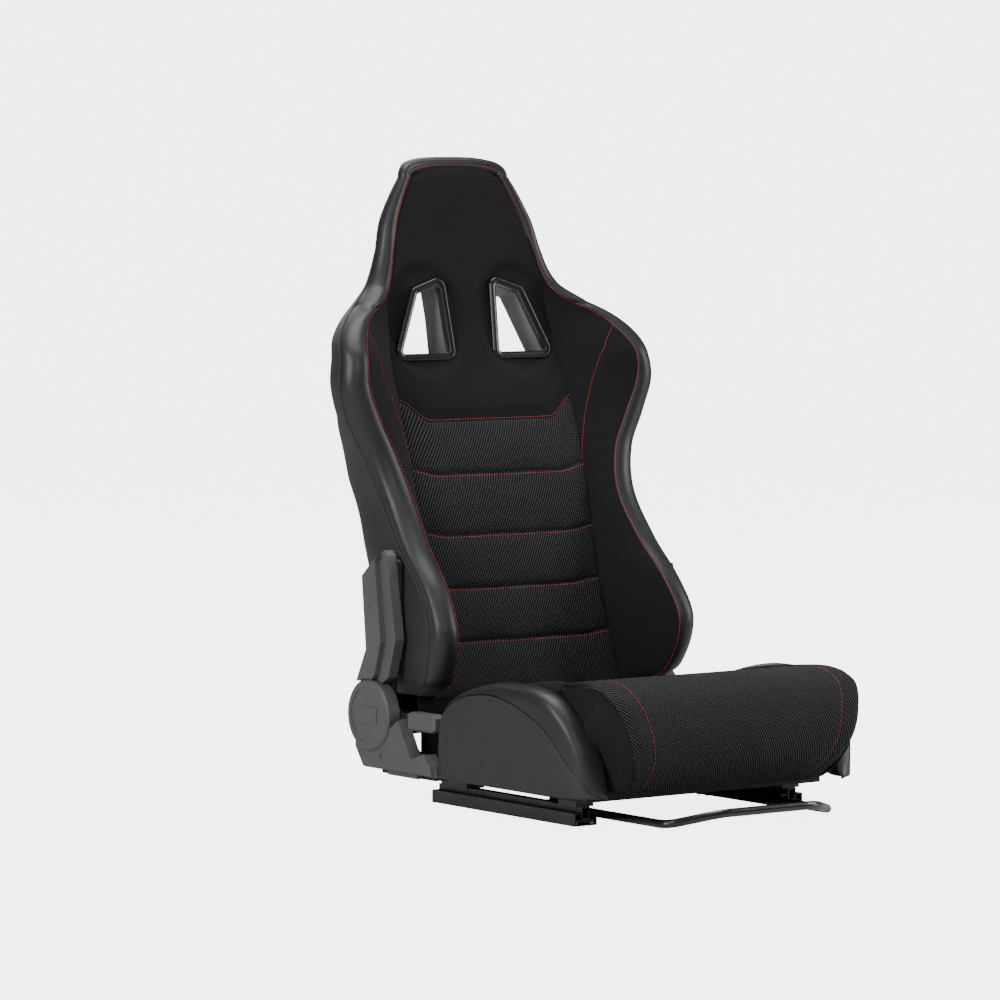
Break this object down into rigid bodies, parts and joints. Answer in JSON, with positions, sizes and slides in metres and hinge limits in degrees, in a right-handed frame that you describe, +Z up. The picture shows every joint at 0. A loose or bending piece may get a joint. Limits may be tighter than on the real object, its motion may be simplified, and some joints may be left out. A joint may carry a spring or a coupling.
{
  "type": "racing seat",
  "caption": "Reclining bucket racing seat with winged backrest, harness slots, bolstered cushion, side recliners, lever and sliding rails released by a front bar.",
  "frame": {"origin": "centre of the rectangle of four floor bolts, at the underside of the lower slide rails", "axes": "+Z up, the seat faces -Y, +X to the sitter's left"},
  "size_m": [0.5508, 0.7784, 0.9049],
  "materials": {
    "rail_paint": "satin",
    "stop_rubber": "matte",
    "glide_nylon": "matte",
    "dark_fasteners": "satin",
    "frame_paint": "matte",
    "spring_wire": "satin",
    "mesh_fabric": "matte",
    "woven_cloth": "matte",
    "edge_leather": "satin",
    "side_vinyl": "satin",
    "recliner_steel": "satin",
    "grey_cover_plastic": "matte",
    "bare_shaft": "satin",
    "bar_gloss_paint": "gloss",
    "bezel_plastic": "gloss",
    "liner_plastic": "matte"
  },
  "bodies": {
    "base": {"lower_rail_left": "rail_paint", "lower_rail_right": "rail_paint", "travel_stop_left": "stop_rubber", "travel_stop_right": "stop_rubber", "glide_strips_left": "glide_nylon", "glide_strips_right": "glide_nylon"},
    "seat": {"upper_rail_left": "rail_paint", "upper_rail_right": "rail_paint", "risers_front": "rail_paint", "risers_rear": "rail_paint", "riser_bolts": "dark_fasteners", "seat_pan": "frame_paint", "cushion_springs": "spring_wire", "cushion_middle": "mesh_fabric", "cushion_front_roll": "mesh_fabric", "cushion_flank_left": "woven_cloth", "cushion_flank_right": "woven_cloth", "cushion_bolster_left": "edge_leather", "cushion_bolster_right": "edge_leather", "bolster_panel_left": "side_vinyl", "bolster_panel_right": "side_vinyl", "recliner_bracket_left": "frame_paint", "recliner_bracket_right": "frame_paint", "recliner_core_left": "recliner_steel", "recliner_core_right": "recliner_steel", "lower_cover_left": "grey_cover_plastic", "lower_cover_right": "grey_cover_plastic", "hub_cover_left": "grey_cover_plastic", "hub_cover_right": "grey_cover_plastic", "recline_shaft": "bare_shaft", "cover_screws": "dark_fasteners", "bar_hangers": "rail_paint", "bar_pivots": "bare_shaft", "bar_springs": "spring_wire"},
    "recline_lever": {"lever_arm": "frame_paint", "lever_grip": "grey_cover_plastic"},
    "towel_bar": {"towel_bar": "bar_gloss_paint", "latch_plate_left": "frame_paint", "latch_plate_right": "frame_paint"},
    "backrest": {"back_frame": "frame_paint", "back_wires": "spring_wire", "middle_panel": "mesh_fabric", "upper_pad": "woven_cloth", "wing_left": "woven_cloth", "wing_right": "woven_cloth", "edge_roll_left": "edge_leather", "edge_roll_right": "edge_leather", "head_cap": "edge_leather", "back_shell": "side_vinyl", "slot_bezel_left": "bezel_plastic", "slot_bezel_right": "bezel_plastic", "slot_liner_left": "liner_plastic", "slot_liner_right": "liner_plastic", "recliner_arm_left": "frame_paint", "recliner_arm_right": "frame_paint", "arm_cover_left": "grey_cover_plastic", "arm_cover_right": "grey_cover_plastic", "arm_plugs": "grey_cover_plastic", "arm_bolts": "dark_fasteners"}
  },
  "joints": [
    {"name": "seat_slide", "type": "slide", "parent": "base", "child": "seat", "axis": [0, 1, 0], "range_m": [-0.08, 0.08]},
    {"name": "backrest_recline", "type": "hinge", "parent": "seat", "child": "backrest", "pos_m": [0, 0.239, 0.121], "axis": [-1, 0, 0], "range_deg": [-20, 60]},
    {"name": "recline_lever_lift", "type": "hinge", "parent": "seat", "child": "recline_lever", "pos_m": [0, 0.239, 0.121], "axis": [-1, 0, 0], "range_deg": [0, 24], "stiffness_Nm_per_rad": 3, "springref_deg": -8.59},
    {"name": "towel_bar_lift", "type": "hinge", "parent": "seat", "child": "towel_bar", "pos_m": [0, -0.03, 0.012], "axis": [-1, 0, 0], "range_deg": [0, 5], "stiffness_Nm_per_rad": 14, "springref_deg": -14.32}
  ]
}
